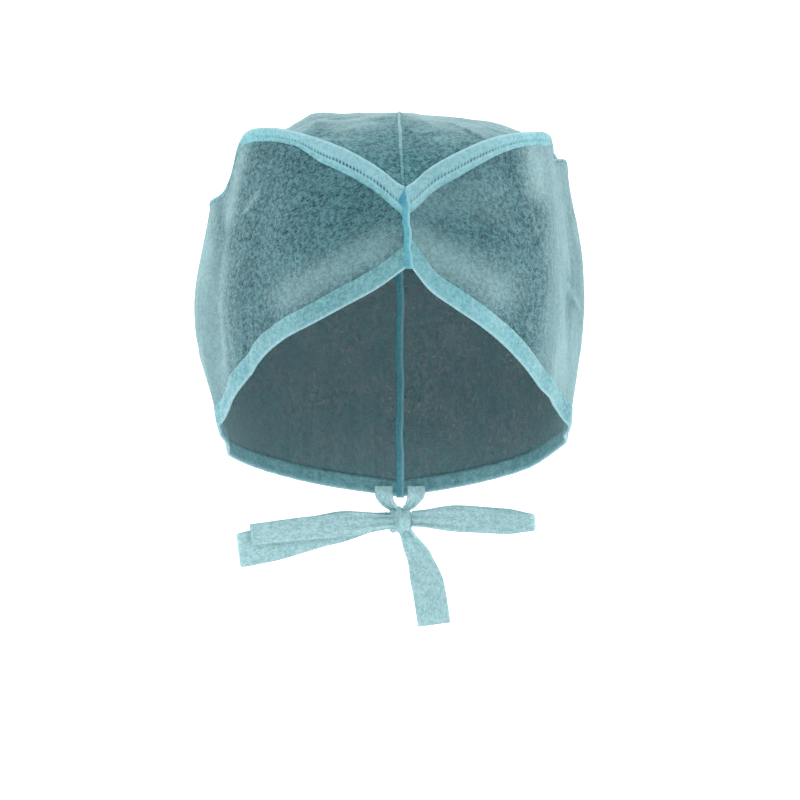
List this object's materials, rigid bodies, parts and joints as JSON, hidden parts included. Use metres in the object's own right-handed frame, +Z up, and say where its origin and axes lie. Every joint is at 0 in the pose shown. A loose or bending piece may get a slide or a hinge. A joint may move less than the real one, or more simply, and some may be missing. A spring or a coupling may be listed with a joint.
{
  "type": "surgical cap",
  "caption": "Tie-back surgical cap of thin aqua non-woven cloth with a standing cuff, a soft crown and a bow at the nape.",
  "frame": {"origin": "where the top of the head bears on the inside of the crown", "axes": "+Z up, -Y to the front of the cap, +Y to the nape, +X to the right of a viewer who faces the wearer"},
  "size_m": [0.2154, 0.2228, 0.2919],
  "materials": {
    "cloth": "thin see-through aqua non-woven cloth",
    "binding": "doubled light aqua non-woven cloth",
    "seam": "rolled non-woven cloth, bluer where its layers stack",
    "tie": "folded pale aqua non-woven ribbon"
  },
  "bodies": {
    "root": {"side_panel_left": "cloth", "side_panel_right": "cloth", "crown_left": "cloth", "crown_right": "cloth", "hem_binding_left": "binding", "hem_binding_right": "binding", "ridge_binding_left": "binding", "ridge_binding_right": "binding", "crown_seam": "binding", "front_seam": "seam", "back_seam": "seam", "tie_left": "tie", "tie_right": "tie", "tie_knot": "tie", "bow_loop_left": "tie", "bow_loop_right": "tie", "tie_tail_left": "tie", "tie_tail_right": "tie"}
  },
  "joints": []
}
